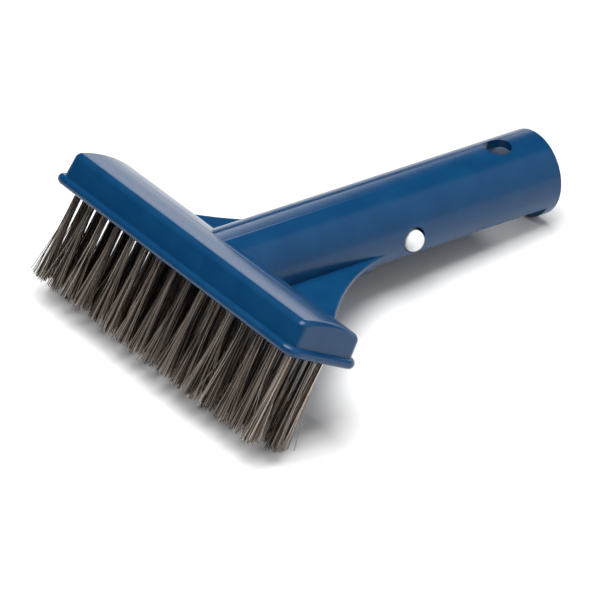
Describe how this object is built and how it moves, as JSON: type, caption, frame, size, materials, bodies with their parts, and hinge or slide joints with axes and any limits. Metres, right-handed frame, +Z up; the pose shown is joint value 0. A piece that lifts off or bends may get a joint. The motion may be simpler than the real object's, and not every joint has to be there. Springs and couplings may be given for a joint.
{
  "type": "pool wall brush",
  "caption": "Wire-bristled pool wall brush head with a moulded handle tube angled up from it, webs between them, and a sprung snap clip for a pole.",
  "frame": {"origin": "middle of the brush's footprint, on the floor that it lies on", "axes": "+X along the head, +Y back towards the handle's open end, +Z up; the brush lies on its rear bristle tips and the end of its handle"},
  "size_m": [0.128, 0.168, 0.049],
  "materials": {
    "moulded_blue_plastic": "glossy moulded surface",
    "stainless_wire": "fine drawn wire",
    "spring_steel": "rolled strip",
    "white_plastic": "glossy moulded surface"
  },
  "bodies": {
    "brush": {"brush_body": "moulded_blue_plastic", "spring_bow": "spring_steel", "tuft_row1_01": "stainless_wire", "tuft_row1_02": "stainless_wire", "tuft_row1_03": "stainless_wire", "tuft_row1_04": "stainless_wire", "tuft_row1_05": "stainless_wire", "tuft_row1_06": "stainless_wire", "tuft_row1_07": "stainless_wire", "tuft_row1_08": "stainless_wire", "tuft_row1_09": "stainless_wire", "tuft_row1_10": "stainless_wire", "tuft_row1_11": "stainless_wire", "tuft_row1_12": "stainless_wire", "tuft_row1_13": "stainless_wire", "tuft_row1_14": "stainless_wire", "tuft_row1_15": "stainless_wire", "tuft_row1_16": "stainless_wire", "tuft_row2_01": "stainless_wire", "tuft_row2_02": "stainless_wire", "tuft_row2_03": "stainless_wire", "tuft_row2_04": "stainless_wire", "tuft_row2_05": "stainless_wire", "tuft_row2_06": "stainless_wire", "tuft_row2_07": "stainless_wire", "tuft_row2_08": "stainless_wire", "tuft_row2_09": "stainless_wire", "tuft_row2_10": "stainless_wire", "tuft_row2_11": "stainless_wire", "tuft_row2_12": "stainless_wire", "tuft_row2_13": "stainless_wire", "tuft_row2_14": "stainless_wire", "tuft_row2_15": "stainless_wire", "tuft_row2_16": "stainless_wire", "tuft_row2_17": "stainless_wire", "tuft_row3_01": "stainless_wire", "tuft_row3_02": "stainless_wire", "tuft_row3_03": "stainless_wire", "tuft_row3_04": "stainless_wire", "tuft_row3_05": "stainless_wire", "tuft_row3_06": "stainless_wire", "tuft_row3_07": "stainless_wire", "tuft_row3_08": "stainless_wire", "tuft_row3_09": "stainless_wire", "tuft_row3_10": "stainless_wire", "tuft_row3_11": "stainless_wire", "tuft_row3_12": "stainless_wire", "tuft_row3_13": "stainless_wire", "tuft_row3_14": "stainless_wire", "tuft_row3_15": "stainless_wire", "tuft_row3_16": "stainless_wire"},
    "right_snap": {"spring_arm_right": "spring_steel", "button_right": "white_plastic"},
    "left_snap": {"spring_arm_left": "spring_steel", "button_left": "white_plastic"}
  },
  "joints": [
    {"name": "right_button_press", "type": "hinge", "parent": "brush", "child": "right_snap", "pos_m": [0.00814, -0.01528, 0.02439], "axis": [0, 0.1004, 0.995], "range_deg": [0, 5], "stiffness_Nm_per_rad": 5},
    {"name": "left_button_press", "type": "hinge", "parent": "brush", "child": "left_snap", "pos_m": [-0.00814, -0.01528, 0.02439], "axis": [0, -0.1004, -0.995], "range_deg": [0, 5], "stiffness_Nm_per_rad": 5}
  ]
}
